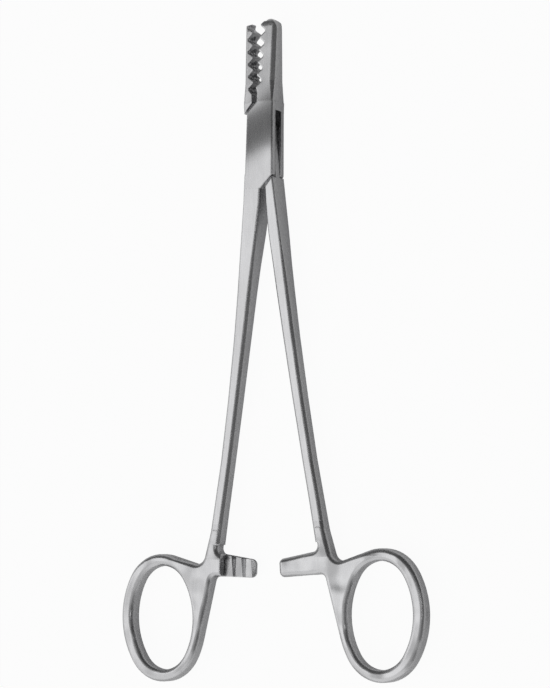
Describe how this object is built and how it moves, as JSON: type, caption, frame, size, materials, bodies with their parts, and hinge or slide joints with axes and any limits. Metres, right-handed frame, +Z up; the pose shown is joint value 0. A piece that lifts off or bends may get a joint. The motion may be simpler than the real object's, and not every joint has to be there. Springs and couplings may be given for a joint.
{
  "type": "bone holding forceps",
  "caption": "Ring-handled bone holding forceps with a box joint, straight toothed jaws with drilled pits and a ratchet, lying slightly open.",
  "frame": {"origin": "on the pivot axis, at the underside of the box joint", "axes": "+Y towards the jaw tips along the line that halves the opening, +Z up through the thickness, +X to the side of the insert arm's finger ring"},
  "size_m": [0.1004, 0.1894, 0.0066],
  "materials": {
    "arm_steel": "satin polished stainless steel",
    "pin_steel": "stainless steel ground flush"
  },
  "bodies": {
    "box_side": {"box_arm": "arm_steel", "joint_pin": "pin_steel"},
    "insert_side": {"insert_arm": "arm_steel"}
  },
  "joints": [
    {"name": "jaw_hinge", "type": "hinge", "parent": "box_side", "child": "insert_side", "pos_m": [0, 0, 0], "axis": [0, 0, 1], "range_deg": [-6, 60]}
  ]
}
